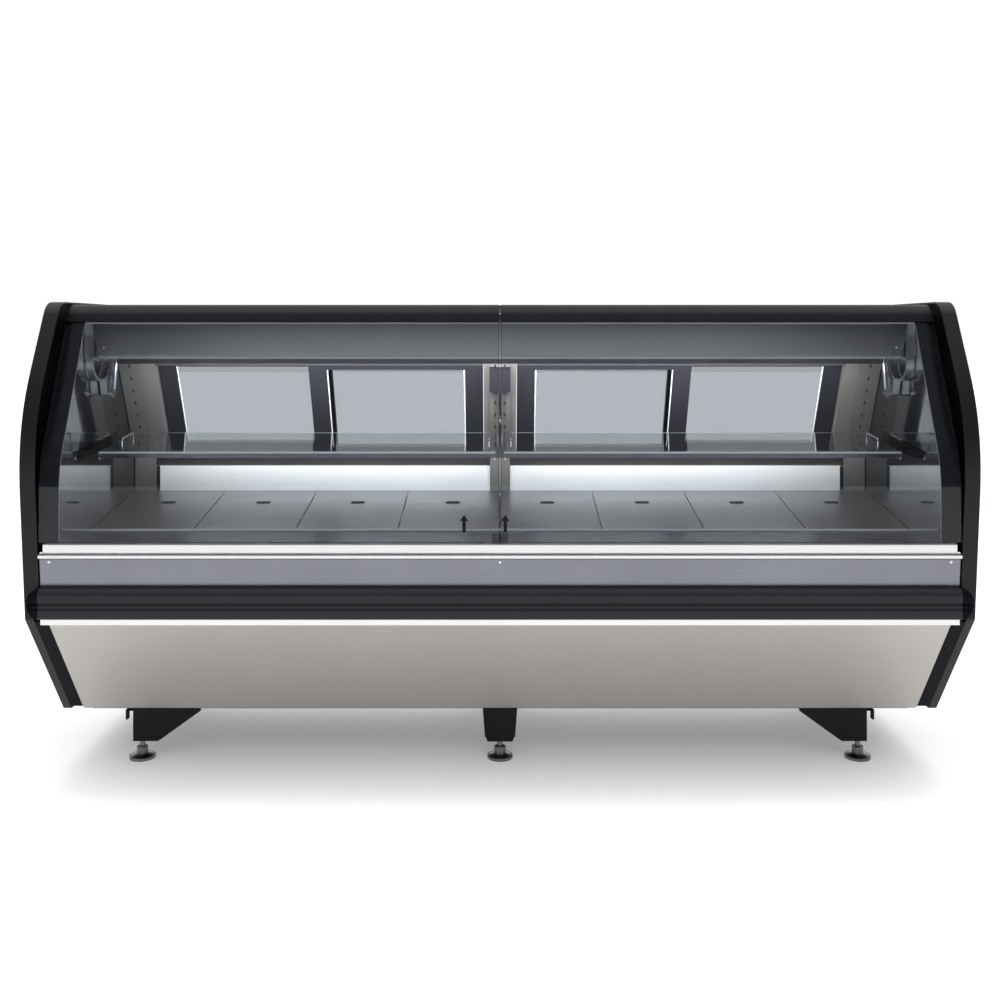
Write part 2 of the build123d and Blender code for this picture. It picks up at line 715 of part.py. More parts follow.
# ---- write every node ----
right_panel, left_panel = both_ends(end_panel())
save("end_panel_right", right_panel)
save("end_panel_left", left_panel)
save("end_liners", *both_ends(end_liner()))
save("base_frame", base_frame(), base_tray())
save("legs", *[leg(x, s) for x in FOOT_X for s in FOOT_S])
for column, x in zip(("left", "centre", "right"), FOOT_X):
    for row, s in zip(("front", "rear"), FOOT_S):
        save(f"foot_{row}_{column}", levelling_foot(x, s))
save("lower_front_panel", lower_front_panel())
save("aluminium_trims", lower_trim_strip(), ledge_trim_strip(), glass_sill_rail())
save("front_bumper", front_bumper())
save("black_end_mouldings", *both_ends(bumper_end_cap()), *both_ends(corner_profile()))
save("front_fascia", front_fascia())
save("glass_catch", glass_catch())
save("front_ledge", front_ledge())
save("tub_liner", tub_liner(), return_panel())
save("tub_insulation", tub_insulation())
save("deck_trays", *[deck_tray(i) for i in range(TRAYS)])
save("top_panel", top_panel())
save("light_hood", light_hood())
save("lamp_tubes", lamp_tube(-1100, -20), lamp_tube(20, 1100))
save("shelf_uprights", upright(1129, 1198, [1165]), upright(-1198, -1129, [-1165]),
     upright(-33, 33, [-15, 15]))
save("shelf_glass", shelf_pane(*SHELF_X), shelf_pane(-SHELF_X[1], -SHELF_X[0]))
save("shelf_front_trims", shelf_front_trim(*SHELF_X), shelf_front_trim(-SHELF_X[1], -SHELF_X[0]))
save("shelf_brackets", *[shelf_bracket(x) for x in (-1165, -15, 15, 1165)],
     *[shelf_guard(x) for x in (-1105, -32, 32, 1105)])
save("centre_cover", centre_cover())
save("centre_rod", centre_rod())
save("door_tracks", door_track(-34, 0, 0, 8), door_track(353, 371, 345, 353))
save("rear_frame", jamb(-1199, -1088), jamb(-52, 52), jamb(1088, 1199), rear_header())
save("rear_work_shelf", rear_work_shelf())
save("rear_lower_panel", rear_lower_panel())

door_places = {
    "left_outer": (-BAY_X[1] + 1, OUTER_TRACK),
    "left_inner": (-BAY_X[0] - 1 - DOOR_W, INNER_TRACK),
    "right_inner": (BAY_X[0] + 1, INNER_TRACK),
    "right_outer": (BAY_X[1] - 1 - DOOR_W, OUTER_TRACK),
}
for place, (x_start, track) in door_places.items():
    door_frame, door_pane = door(x_start, track)
    save(f"door_frame_{place}", door_frame)
    save(f"door_glass_{place}", door_pane)

for node, maker in (("front_glass", lambda: front_glass(*GLASS_X)), ("lift_arm", lift_arm),
                    ("strut_rod", strut_rod), ("strut_cylinder", strut_cylinder)):
    right, left = both_ends(maker())
    save(f"{node}_right", right)
    save(f"{node}_left", left)

save("hinge_hardware", *hinge_hardware())
save("compressor", compressor())
save("condenser_coil", condenser_coil())
save("evaporator_coil", finned_coil(-1000, 1000, 566, 690, 564, 655, 25))
save("fan_motors", *fan_motors())
save("condenser_fan", condenser_fan())
save("evaporator_fan", evaporator_fan())
save("control_box", control_box())
save("power_switch", power_switch())
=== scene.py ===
import math

import bmesh
import bpy
from mathutils import Matrix, Vector


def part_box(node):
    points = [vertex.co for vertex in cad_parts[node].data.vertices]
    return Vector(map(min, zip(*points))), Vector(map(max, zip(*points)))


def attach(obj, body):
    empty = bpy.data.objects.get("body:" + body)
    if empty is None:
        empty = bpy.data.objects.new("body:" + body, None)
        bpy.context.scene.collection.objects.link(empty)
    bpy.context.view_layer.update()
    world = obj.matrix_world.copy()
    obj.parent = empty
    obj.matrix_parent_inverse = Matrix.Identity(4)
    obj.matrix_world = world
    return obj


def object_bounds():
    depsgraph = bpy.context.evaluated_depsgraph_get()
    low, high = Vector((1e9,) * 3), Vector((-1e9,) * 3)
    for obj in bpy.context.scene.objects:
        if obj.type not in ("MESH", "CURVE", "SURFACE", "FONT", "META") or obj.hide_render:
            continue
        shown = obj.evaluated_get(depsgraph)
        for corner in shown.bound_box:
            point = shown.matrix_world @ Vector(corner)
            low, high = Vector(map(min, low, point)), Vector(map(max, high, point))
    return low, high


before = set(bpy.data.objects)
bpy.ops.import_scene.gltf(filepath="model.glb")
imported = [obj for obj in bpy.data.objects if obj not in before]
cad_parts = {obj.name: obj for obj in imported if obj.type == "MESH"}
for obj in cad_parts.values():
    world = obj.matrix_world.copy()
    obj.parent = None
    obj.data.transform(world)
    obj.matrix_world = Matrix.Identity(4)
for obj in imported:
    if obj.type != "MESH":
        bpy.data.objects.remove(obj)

# Looks of a refrigerated deli case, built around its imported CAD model.
# Lengths are in metres. A section point is (s, z): s is the distance behind the case's foremost
# plane and z the height. Left and right are as seen from the front.

cad_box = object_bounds()

# ---- driving dimensions: boxes of the frame, and sections of the CAD ----
FRONT_Y = cad_box[0].y
END_FACE_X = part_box("end_panel_right")[1].x
GLASS_LOW, GLASS_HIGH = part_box("front_glass_right")
HOOD_LOW, HOOD_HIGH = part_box("light_hood")
LAMP_LOW, LAMP_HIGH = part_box("lamp_tubes")
DOOR_LEAN = math.radians(27.7)
GLASS_T = 0.006
GLASS_CORNERS = [(0.296, 1.320), (0.2255, 1.320), (0.014, 0.889), (0.014, 0.694)]
GLASS_BENDS = [0.052, 0.260]
SIDES = {"right": 1, "left": -1}
ALONG_X, UPRIGHT = (1, 0, 0), (0, 0, 1)
EVEN = (1, 1, 1)


# ---- shader helpers ----
def new_material(name):
    """A material with only its Principled shader and output: (material, nodes, links, shader)."""
    mat = bpy.data.materials.new(name)
    mat.use_nodes = True
    nodes = mat.node_tree.nodes
    return mat, nodes, mat.node_tree.links, nodes["Principled BSDF"]


def object_coordinates(nodes, links, stretch):
    """Object coordinates, in metres, stretched per axis."""
    coords = nodes.new("ShaderNodeTexCoord")
    mapping = nodes.new("ShaderNodeMapping")
    mapping.inputs["Scale"].default_value = stretch
    links.new(coords.outputs["Object"], mapping.inputs["Vector"])
    return mapping.outputs["Vector"]


def noise(nodes, links, stretch, scale, detail, roughness=0.55):
    """Noise value over stretched object coordinates."""
    node = nodes.new("ShaderNodeTexNoise")
    node.inputs["Scale"].default_value = scale
    node.inputs["Detail"].default_value = detail
    node.inputs["Roughness"].default_value = roughness
    links.new(object_coordinates(nodes, links, stretch), node.inputs["Vector"])
    return node.outputs["Fac"]


def spread(nodes, links, value, low, high):
    """Map a noise value's usual range to low..high."""
    node = nodes.new("ShaderNodeMapRange")
    node.inputs["From Min"].default_value = 0.3
    node.inputs["From Max"].default_value = 0.7
    node.inputs["To Min"].default_value = low
    node.inputs["To Max"].default_value = high
    links.new(value, node.inputs["Value"])
    return node.outputs["Result"]


def tint(nodes, links, value, dark, light):
    """Blend two colours by a noise value."""
    node = nodes.new("ShaderNodeMix")
    node.data_type = "RGBA"
    node.inputs["A"].default_value = (*dark, 1)
    node.inputs["B"].default_value = (*light, 1)
    links.new(value, node.inputs["Factor"])
    return node.outputs["Result"]


def bump(nodes, links, value, strength, distance):
    """Surface normal raised by a height value."""
    node = nodes.new("ShaderNodeBump")
    node.inputs["Strength"].default_value = strength
    node.inputs["Distance"].default_value = distance
    links.new(value, node.inputs["Height"])
    return node.outputs["Normal"]


def scaled(colour, share):
    """A colour made lighter or darker."""
    return tuple(min(c * share, 1.0) for c in colour)


def brushed_metal(name, colour, roughness, brush=(0.6, 60, 60), clouds=0.12, metallic=1.0):
    """Satin metal: fine lines along the axis of least stretch, faint cloudy handling marks."""
    mat, nodes, links, shader = new_material(name)
    lines = noise(nodes, links, brush, scale=14, detail=4, roughness=0.7)
    smears = noise(nodes, links, EVEN, scale=2.4, detail=3)
    shade = tint(nodes, links, smears, scaled(colour, 1 - clouds), scaled(colour, 1 + clouds))
    links.new(shade, shader.inputs["Base Color"])
    shader.inputs["Metallic"].default_value = metallic
    gloss = spread(nodes, links, lines, roughness * 0.75, roughness * 1.25)
    links.new(gloss, shader.inputs["Roughness"])
    links.new(bump(nodes, links, lines, strength=0.06, distance=0.0004), shader.inputs["Normal"])
    return mat


def polished_metal(name, colour, roughness):
    """Bright metal with faint wipe marks."""
    mat, nodes, links, shader = new_material(name)
    smears = noise(nodes, links, EVEN, scale=5, detail=4)
    gloss = spread(nodes, links, smears, roughness * 0.7, roughness * 1.5)
    links.new(gloss, shader.inputs["Roughness"])
    shade = tint(nodes, links, smears, scaled(colour, 0.94), scaled(colour, 1.03))
    links.new(shade, shader.inputs["Base Color"])
    shader.inputs["Metallic"].default_value = 1.0
    return mat


def moulded_plastic(name, colour, roughness, grain=0.3, pitch=900, coat=0.0, specular=0.5):
    """Moulded plastic: fine texture, slight colour and gloss variation."""
    mat, nodes, links, shader = new_material(name)
    texture = noise(nodes, links, EVEN, scale=pitch, detail=2)
    patches = noise(nodes, links, EVEN, scale=6, detail=4)
    shade = tint(nodes, links, patches, scaled(colour, 0.92), scaled(colour, 1.1))
    links.new(shade, shader.inputs["Base Color"])
    gloss = spread(nodes, links, patches, roughness * 0.94, roughness * 1.06)
    links.new(gloss, shader.inputs["Roughness"])
    shader.inputs["Coat Weight"].default_value = coat
    shader.inputs["Coat Roughness"].default_value = 0.12
    shader.inputs["Specular IOR Level"].default_value = specular
    links.new(bump(nodes, links, texture, strength=grain, distance=0.0003), shader.inputs["Normal"])
    return mat


def painted_metal(name, colour, roughness, specular=0.5):
    """Powder coat: soft orange peel."""
    mat, nodes, links, shader = new_material(name)
    peel = noise(nodes, links, EVEN, scale=260, detail=2)
    patches = noise(nodes, links, EVEN, scale=3, detail=4)
    shade = tint(nodes, links, patches, scaled(colour, 0.85), scaled(colour, 1.15))
    links.new(shade, shader.inputs["Base Color"])
    gloss = spread(nodes, links, peel, roughness * 0.85, roughness * 1.15)
    links.new(gloss, shader.inputs["Roughness"])
    shader.inputs["Specular IOR Level"].default_value = specular
    links.new(bump(nodes, links, peel, strength=0.15, distance=0.0005), shader.inputs["Normal"])
    return mat


def clear_glass(name, colour):
    """Clear glass with faint wipe marks; shadow rays pass, so lamps light what is behind it."""
    mat, nodes, links, shader = new_material(name)
    shader.inputs["Base Color"].default_value = (*colour, 1)
    shader.inputs["Transmission Weight"].default_value = 1.0
    shader.inputs["IOR"].default_value = 1.28
    wipes = noise(nodes, links, EVEN, scale=4, detail=3)
    links.new(spread(nodes, links, wipes, 0.0, 0.006), shader.inputs["Roughness"])
    path = nodes.new("ShaderNodeLightPath")
    clear = nodes.new("ShaderNodeBsdfTransparent")
    clear.inputs["Color"].default_value = (*scaled(colour, 0.97), 1)
    mix = nodes.new("ShaderNodeMixShader")
    links.new(path.outputs["Is Shadow Ray"], mix.inputs["Fac"])
    links.new(shader.outputs["BSDF"], mix.inputs[1])
    links.new(clear.outputs["BSDF"], mix.inputs[2])
    links.new(mix.outputs["Shader"], nodes["Material Output"].inputs["Surface"])
    return mat


def glowing_plastic(name, colour, strength):
    """Opal diffuser, its glow slightly uneven."""
    mat, nodes, links, shader = new_material(name)
    speckle = noise(nodes, links, EVEN, scale=30, detail=2)
    shade = tint(nodes, links, speckle, scaled(colour, 0.92), colour)
    links.new(shade, shader.inputs["Base Color"])
    links.new(shade, shader.inputs["Emission Color"])
    shader.inputs["Emission Strength"].default_value = strength
    shader.inputs["Roughness"].default_value = 0.35
    return mat


def foam(name, colour):
    """Cut rigid foam."""
    mat, nodes, links, shader = new_material(name)
    cells = noise(nodes, links, EVEN, scale=350, detail=3)
    links.new(tint(nodes, links, cells, scaled(colour, 0.75), colour), shader.inputs["Base Color"])
    shader.inputs["Roughness"].default_value = 0.9
    links.new(bump(nodes, links, cells, strength=0.5, distance=0.001), shader.inputs["Normal"])
    return mat


def painted_shade_metal(name, low, high, painted_shades):
    """Satin metal with painted shade and reflection: its tone runs from one colour at the low height
    to another at the high one.
    """
    mat = brushed_metal(name, painted_shades[0], 0.38)
    nodes, links = mat.node_tree.nodes, mat.node_tree.links
    split = nodes.new("ShaderNodeSeparateXYZ")
    links.new(object_coordinates(nodes, links, EVEN), split.inputs["Vector"])
    height = nodes.new("ShaderNodeMapRange")
    height.inputs["From Min"].default_value = low
    height.inputs["From Max"].default_value = high
    links.new(split.outputs["Z"], height.inputs["Value"])
    tone = tint(nodes, links, height.outputs["Result"], *painted_shades)
    links.new(tone, nodes["Principled BSDF"].inputs["Base Color"])
    return mat


# ---- materials ----
BRUSHED_UP = (60, 60, 0.6)
BLACK_PLASTIC = moulded_plastic("black_grained_plastic", (0.0045, 0.0045, 0.006), 0.46,
                                specular=0.28)
FRAME_PLASTIC = moulded_plastic("door_frame_plastic", (0.016, 0.016, 0.020), 0.50, specular=0.12)
BUMPER_PLASTIC = moulded_plastic("bumper_plastic", (0.016, 0.016, 0.020), 0.36,
                                 grain=0.15, pitch=600, specular=0.24)
END_PLASTIC = moulded_plastic("end_moulding_plastic", (0.004, 0.004, 0.006), 0.40,
                              grain=0.15, pitch=600, specular=0.04)
SATIN_BLACK = painted_metal("satin_black_paint", (0.006, 0.006, 0.007), 0.38, specular=0.3)
GREY_PAINT = painted_metal("grey_paint", (0.30, 0.30, 0.31), 0.45)
LEG_PAINT = painted_metal("leg_paint", (0.005, 0.005, 0.007), 0.45, specular=0.15)
CHASSIS_PAINT = painted_metal("chassis_paint", (0.012, 0.012, 0.013), 0.55, specular=0.25)
LINER_GLOSS = polished_metal("mirror_liner", (0.31, 0.315, 0.325), 0.06)
WARM_STEEL = brushed_metal("warm_satin_steel", (0.46, 0.44, 0.418), 0.38, clouds=0.07)
FASCIA_STEEL = brushed_metal("fascia_steel", (0.20, 0.205, 0.24), 0.30, clouds=0.2)
LEDGE_STEEL = brushed_metal("ledge_steel", (0.22, 0.235, 0.285), 0.30)
TRAY_STEEL = brushed_metal("tray_steel", (0.42, 0.424, 0.446), 0.38, clouds=0.2)
TUB_STEEL = brushed_metal("tub_steel", (0.95, 0.95, 0.95), 0.45, clouds=0.05, metallic=0.4)
UPRIGHT_STEEL = brushed_metal("upright_steel", (0.20, 0.196, 0.19), 0.42, brush=BRUSHED_UP,
                              metallic=0.5)
JAMB_STEEL = brushed_metal("jamb_steel", (0.36, 0.35, 0.335), 0.36, brush=BRUSHED_UP, metallic=0.7)
# Painted reflection and shade on the hood: light at its lower edge, where the steel mirrors the
# bright deck, and dark at its top.
HOOD_PAINTED_SHADES = ((1.0, 1.0, 1.0), (0.05, 0.052, 0.06))
HOOD_STEEL_PAINTED_SHADE = painted_shade_metal("hood_steel_painted_shade", HOOD_LOW.z + 0.02, HOOD_HIGH.z, HOOD_PAINTED_SHADES)
ALUMINIUM = brushed_metal("bright_aluminium", (0.72, 0.715, 0.71), 0.25, clouds=0.04)
DARK_ALUMINIUM = brushed_metal("dark_aluminium", (0.10, 0.10, 0.11), 0.35, metallic=0.6)
FINS = brushed_metal("fin_aluminium", (0.45, 0.46, 0.47), 0.45, brush=(400, 1, 1))
ZINC = brushed_metal("zinc_plate", (0.20, 0.195, 0.19), 0.30, brush=(20, 20, 20), clouds=0.3)
CHROME = polished_metal("chrome", (0.80, 0.81, 0.83), 0.06)
SHELF_TRIM = brushed_metal("shelf_trim", (0.16, 0.165, 0.18), 0.30)
MACHINE_BLACK = painted_metal("machine_black", (0.014, 0.014, 0.015), 0.25)
STRUT_GREY = brushed_metal("strut_grey", (0.70, 0.72, 0.74), 0.3, brush=BRUSHED_UP)
ARM_STEEL = brushed_metal("arm_steel", (0.62, 0.64, 0.66), 0.34, brush=(60, 20, 20))
FRONT_GLASS = clear_glass("front_glass", (0.84, 0.86, 0.88))
SHELF_GLASS = clear_glass("shelf_glass", (0.72, 0.75, 0.76))
DOOR_GLASS = clear_glass("door_glass", (0.43, 0.45, 0.465))
LAMP = glowing_plastic("lamp_diffuser", (0.93, 0.96, 1.0), 7.0)
WHITE_PLASTIC = moulded_plastic("white_plastic", (0.75, 0.75, 0.74), 0.4)
GREEN_PLASTIC = moulded_plastic("green_plastic", (0.03, 0.25, 0.06), 0.3)
PRINT_BLACK = moulded_plastic("printed_border", (0.011, 0.011, 0.014), 0.50, grain=0.0, specular=0.05)
# Light strips: the hood's edge trim, and painted highlights on the glass band, the shelf edges and
# the door panes.
LIGHT_TRIM_AND_HIGHLIGHT = moulded_plastic("light_trim_and_painted_highlight", (0.80, 0.82, 0.84), 0.25, grain=0.05)
END_SEAL = moulded_plastic("end_seal", (0.20, 0.21, 0.23), 0.3, grain=0.05)
# Light, diffuse satin for the ledge's lip: a painted highlight of a bright metal edge.
LIP_PAINTED_HIGHLIGHT = moulded_plastic("painted_highlight_satin", (0.55, 0.555, 0.57), 0.35, grain=0.05)
PANE_EDGE = moulded_plastic("pane_edge_seal", (0.06, 0.075, 0.085), 0.3, grain=0.05)
TOP_BLACK = moulded_plastic("top_profile_black", (0.005, 0.005, 0.007), 0.40,
                            grain=0.1, pitch=500, specular=0.16)
FOAM = foam("rigid_foam", (0.72, 0.66, 0.48))
SEAL_BLACK = moulded_plastic("seal_rubber", (0.01, 0.01, 0.011), 0.6, grain=0.2)
DISPLAY = moulded_plastic("display_window", (0.05, 0.006, 0.006), 0.1, grain=0.05, coat=1.0)

LOOKS = {
    "end_panel": BLACK_PLASTIC,
    "black_end_mouldings": END_PLASTIC,
    "front_bumper": BUMPER_PLASTIC,
    "end_liners": LINER_GLOSS,
    "base_frame": CHASSIS_PAINT,
    "legs": LEG_PAINT,
    "lower_front_panel": WARM_STEEL,
    "aluminium_trims": ALUMINIUM,
    "front_fascia": FASCIA_STEEL,
    "glass_catch": SATIN_BLACK,
    "front_ledge": LEDGE_STEEL,
    "tub_liner": TUB_STEEL,
    "tub_insulation": FOAM,
    "deck_trays": TRAY_STEEL,
    "top_panel": SATIN_BLACK,
    "light_hood": HOOD_STEEL_PAINTED_SHADE,
    "lamp_tubes": LAMP,
    "shelf_uprights": UPRIGHT_STEEL,
    "shelf_glass": SHELF_GLASS,
    "shelf_front_trims": SHELF_TRIM,
    "shelf_brackets": CHROME,
    "centre_cover": FRAME_PLASTIC,
    "centre_rod": CHROME,
    "door_tracks": DARK_ALUMINIUM,
    "rear_frame": JAMB_STEEL,
    "rear_work_shelf": WARM_STEEL,
    "rear_lower_panel": GREY_PAINT,
    "hinge_hardware": CHROME,
    "compressor": MACHINE_BLACK,
    "condenser_coil": FINS,
    "evaporator_coil": FINS,
    "fan_motors": MACHINE_BLACK,
    "control_box": BLACK_PLASTIC,
    "front_glass": FRONT_GLASS,
    "lift_arm": ARM_STEEL,
    "strut_rod": CHROME,
    "strut_cylinder": STRUT_GREY,
    "door_frame": FRAME_PLASTIC,
    "door_glass": DOOR_GLASS,
    "power_switch": GREEN_PLASTIC,
    "condenser_fan": BLACK_PLASTIC,
    "evaporator_fan": BLACK_PLASTIC,
    "foot": ZINC,
}


def look_of(node):
    """The longest name in LOOKS that starts the node's name."""
    return LOOKS[max((key for key in LOOKS if node.startswith(key)), key=len)]


for node_name, node_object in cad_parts.items():
    node_object.data.materials.clear()
    node_object.data.materials.append(look_of(node_name))


# ---- mesh helpers ----
def place(s, z, x):
    """World point of a section point, at a given x."""
    return Vector((x, FRONT_Y + s, z))


def add_piece(name, bm, mat, body):
    """Make a piece from a bmesh, give it its material, and let it ride on its body."""
    mesh = bpy.data.meshes.new(name)
    bm.to_mesh(mesh)
    bm.free()
    mesh.materials.append(mat)
    obj = bpy.data.objects.new(name, mesh)
    bpy.context.scene.collection.objects.link(obj)
    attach(obj, body)


def rounded_path(corners, radii, pieces=10):
    """Open path with each inner corner replaced by an arc."""
    points = [Vector(corners[0])]
    for before, corner, after, radius in zip(corners, corners[1:], corners[2:], radii):
        corner = Vector(corner)
        back = (Vector(before) - corner).normalized()
        ahead = (Vector(after) - corner).normalized()
        half = back.angle(ahead) / 2
        centre = corner + (back + ahead).normalized() * (radius / math.sin(half))
        start = corner + back * (radius / math.tan(half)) - centre
        end = corner + ahead * (radius / math.tan(half)) - centre
        sweep = math.atan2(start.x * end.y - start.y * end.x, start.dot(end))
        for i in range(pieces + 1):
            turn = sweep * i / pieces
            ray = (start.x * math.cos(turn) - start.y * math.sin(turn),
                   start.x * math.sin(turn) + start.y * math.cos(turn))
            points.append(centre + Vector(ray))
    points.append(Vector(corners[-1]))
    return points


def offset_points(points, distance):
    """Shift a path to its left."""
    shifted = []
    for i, point in enumerate(points):
        before = points[max(i - 1, 0)]
        after = points[min(i + 1, len(points) - 1)]
        along = (after - before).normalized()
        shifted.append(point + Vector((-along.y, along.x)) * distance)
    return shifted


def strip(name, path, depth0, depth1, x0, x1, mat, body, slot):
    """Closed strip along a section path, between two depths to the path's left and two x."""
    bm = bmesh.new()
    near, far = offset_points(path, depth0), offset_points(path, depth1)
    rows = [[bm.verts.new(place(p.x, p.y, x)) for p in line]
            for line in (near, far) for x in sorted((x0, x1))]
    near0, near1, far0, far1 = rows
    for i in range(len(path) - 1):
        bm.faces.new((near0[i], near0[i + 1], near1[i + 1], near1[i]))
        bm.faces.new((far0[i], far1[i], far1[i + 1], far0[i + 1]))
        bm.faces.new((near0[i], far0[i], far0[i + 1], near0[i + 1]))
        bm.faces.new((near1[i], near1[i + 1], far1[i + 1], far1[i]))
    for i in (0, -1):
        bm.faces.new((near0[i], near1[i], far1[i], far0[i]))
    bmesh.ops.recalc_face_normals(bm, faces=bm.faces)
    add_piece(name, bm, mat, body)


def lathe(bm, profile, at, segments=18):
    """Turn a profile of (radius, height) points about the local Z of matrix at."""
    rings = []
    for radius, height in profile:
        count = segments if radius > 1e-6 else 1
        ring = []
        for i in range(count):
            angle = 2 * math.pi * i / segments
            local = Vector((radius * math.cos(angle), radius * math.sin(angle), height))
            ring.append(bm.verts.new(at @ local))
        rings.append(ring)
    for ring, following in zip(rings, rings[1:]):
        for i in range(segments):
            a, b = ring[i % len(ring)], ring[(i + 1) % len(ring)]
            c, d = following[(i + 1) % len(following)], following[i % len(following)]
            corners = list(dict.fromkeys((a, b, c, d)))
            if len(corners) > 2:
                bm.faces.new(corners)


def facing(point, normal):
    """Matrix whose local Z is the normal, at a point."""
    turn = Vector(normal).to_track_quat("Z", "Y").to_matrix().to_4x4()
    return Matrix.Translation(point) @ turn


# A round head with a recess: (radius, height) as shares of the head's radius.
SCREW_HEAD = [(0, 0.22), (0.42, 0.22), (0.46, 0.58), (0.80, 0.50), (0.98, 0.26), (1.0, 0.0), (0, 0)]


def screws(name, places, radius, mat, body):
    """Screw heads at (point, normal) places, as one piece."""
    bm = bmesh.new()
    for point, normal in places:
        lathe(bm, [(r * radius, h * radius) for r, h in SCREW_HEAD], facing(point, normal))
    bmesh.ops.recalc_face_normals(bm, faces=bm.faces)
    add_piece(name, bm, mat, body)


def plate(name, outline, origin, up, thickness, mat, body, right=ALONG_X):
    """Flat piece with a 2-D outline along right and up, its front face in origin's plane."""
    bm = bmesh.new()
    right, up = Vector(right), Vector(up)
    normal = right.cross(up).normalized()
    front = [bm.verts.new(origin + right * u + up * v) for u, v in outline]
    back = [bm.verts.new(v.co - normal * thickness) for v in front]
    bm.faces.new(front)
    bm.faces.new(back[::-1])
    for i in range(len(front)):
        j = (i + 1) % len(front)
        bm.faces.new((front[i], back[i], back[j], front[j]))
    bmesh.ops.recalc_face_normals(bm, faces=bm.faces)
    add_piece(name, bm, mat, body)


# ---- printed border, seals, painted highlight line and marks of the front glass ----
# Depths run inwards from the outer face of the pane.
BORDER_X = 1.155
BAND_Z = 1.273
PRINT_DEPTH = (GLASS_T + 0.0001, GLASS_T + 0.0005)
TRIM_DEPTH = (GLASS_T + 0.0001, GLASS_T + 0.0008)
PROFILE_DEPTH = (-0.0014, -0.0002)
PRINT_INSET = 0.0002
PROFILE_OVERHANG = 0.001
TOP_LINE = 0.0035
TOP_LINE_STOP = 0.003
END_LINE = 0.0016
PANE_LINE = 0.0015


def lean_part(path, low_z, high_z):
    """The stretch of a path between two heights, ends interpolated."""
    kept = []
    for a, b in zip(path, path[1:]):
        for limit in (high_z, low_z):
            if (a.y - limit) * (b.y - limit) < 0:
                kept.append(a.lerp(b, (a.y - limit) / (a.y - b.y)))
        if low_z <= b.y <= high_z:
            kept.append(b)
    if low_z <= path[0].y <= high_z:
        kept.insert(0, path[0])
    return kept


def dress_glass(side, sign):
    """Black print, top profile, a painted highlight line under the band, the light end line and
    pane-edge seal of one front pane.
    """
    body = f"glass_{side}"
    path = rounded_path(GLASS_CORNERS, GLASS_BENDS)
    band = lean_part(path, BAND_Z, math.inf)
    below_band = lean_part(path, BAND_Z - TOP_LINE, BAND_Z)
    upright = lean_part(path, GLASS_CORNERS[-1][1], BAND_Z)
    inner, outer = GLASS_LOW.x, GLASS_HIGH.x - PRINT_INSET
    for name, line, depths, x0, x1, mat in (
            ("glass_end_print", path, PRINT_DEPTH, BORDER_X, outer, PRINT_BLACK),
            ("glass_top_print", band, PRINT_DEPTH, inner, BORDER_X, PRINT_BLACK),
            ("glass_top_profile", band, PROFILE_DEPTH, inner - PROFILE_OVERHANG, outer, TOP_BLACK),
            ("glass_top_line", below_band, TRIM_DEPTH, inner, BORDER_X - TOP_LINE_STOP, LIGHT_TRIM_AND_HIGHLIGHT),
            ("glass_end_line", upright, TRIM_DEPTH, BORDER_X - END_LINE, BORDER_X, END_SEAL),
            ("pane_edge", upright, TRIM_DEPTH, inner, inner + PANE_LINE, PANE_EDGE)):
        strip(f"{name}_{side}", line, *depths, sign * x0, sign * x1, mat, body, "front_glass")


ARROW = [(0, 0.021), (-0.011, 0.005), (-0.0045, 0.005), (-0.0045, -0.025),
         (0.0045, -0.025), (0.0045, 0.005), (0.011, 0.005)]
ARROW_S = GLASS_CORNERS[-1][0] - 0.0002
ARROW_Z = 0.746
ARROW_X = {"right": 0.014, "left": -0.094}
ARROW_THICKNESS = 0.0001
for side, sign in SIDES.items():
    dress_glass(side, sign)
    plate(f"lift_arrow_{side}", ARROW, place(ARROW_S, ARROW_Z, ARROW_X[side]), UPRIGHT,
          ARROW_THICKNESS, PRINT_BLACK, f"glass_{side}")

# ---- trims, clips and screws of the hood ----
HOOD_EDGE = [Vector((0.4140, 1.1655)), Vector((0.4050, 1.1727))]
HOOD_EDGE_DEPTH = (0.0006, 0.0026)
strip("hood_edge_trim", HOOD_EDGE, *HOOD_EDGE_DEPTH, -HOOD_HIGH.x, HOOD_HIGH.x,
      LIGHT_TRIM_AND_HIGHLIGHT, "case", "light_hood")

RAIL_PATH = [Vector((0.4315, 1.1500)), Vector((0.4255, 1.1665))]
RAIL_INSET = 0.045
RAIL_DEPTH = (0.0018, 0.0035)
strip("lamp_rail", RAIL_PATH, *RAIL_DEPTH, HOOD_LOW.x + RAIL_INSET, HOOD_HIGH.x - RAIL_INSET,
      DARK_ALUMINIUM, "case", "light_hood")

HOOD_NORMAL = (0, -0.783, -0.625)
HOOD_SCREW_S, HOOD_SCREW_Z, HOOD_SCREW_RADIUS = 0.3868, 1.198, 0.005
hood_places = [(place(HOOD_SCREW_S, HOOD_SCREW_Z, x), HOOD_NORMAL) for x in (-1.168, 1.168)]
screws("hood_screws", hood_places, HOOD_SCREW_RADIUS, CHROME, "case")

LAMP_CLIP = [(-0.008, -0.012), (0.008, -0.012), (0.010, 0.004), (0.010, 0.014),
             (-0.010, 0.014), (-0.010, 0.004)]
CLIP_X = (-0.170, -0.045, 0.045, 0.150)
CLIP_Y = LAMP_LOW.y + 0.001
CLIP_Z = (LAMP_LOW.z + LAMP_HIGH.z) / 2
CLIP_THICKNESS = 0.004
for index, x in enumerate(CLIP_X):
    plate(f"lamp_clip_{index + 1}", LAMP_CLIP, Vector((x, CLIP_Y, CLIP_Z)), UPRIGHT, CLIP_THICKNESS,
          WHITE_PLASTIC, "case")

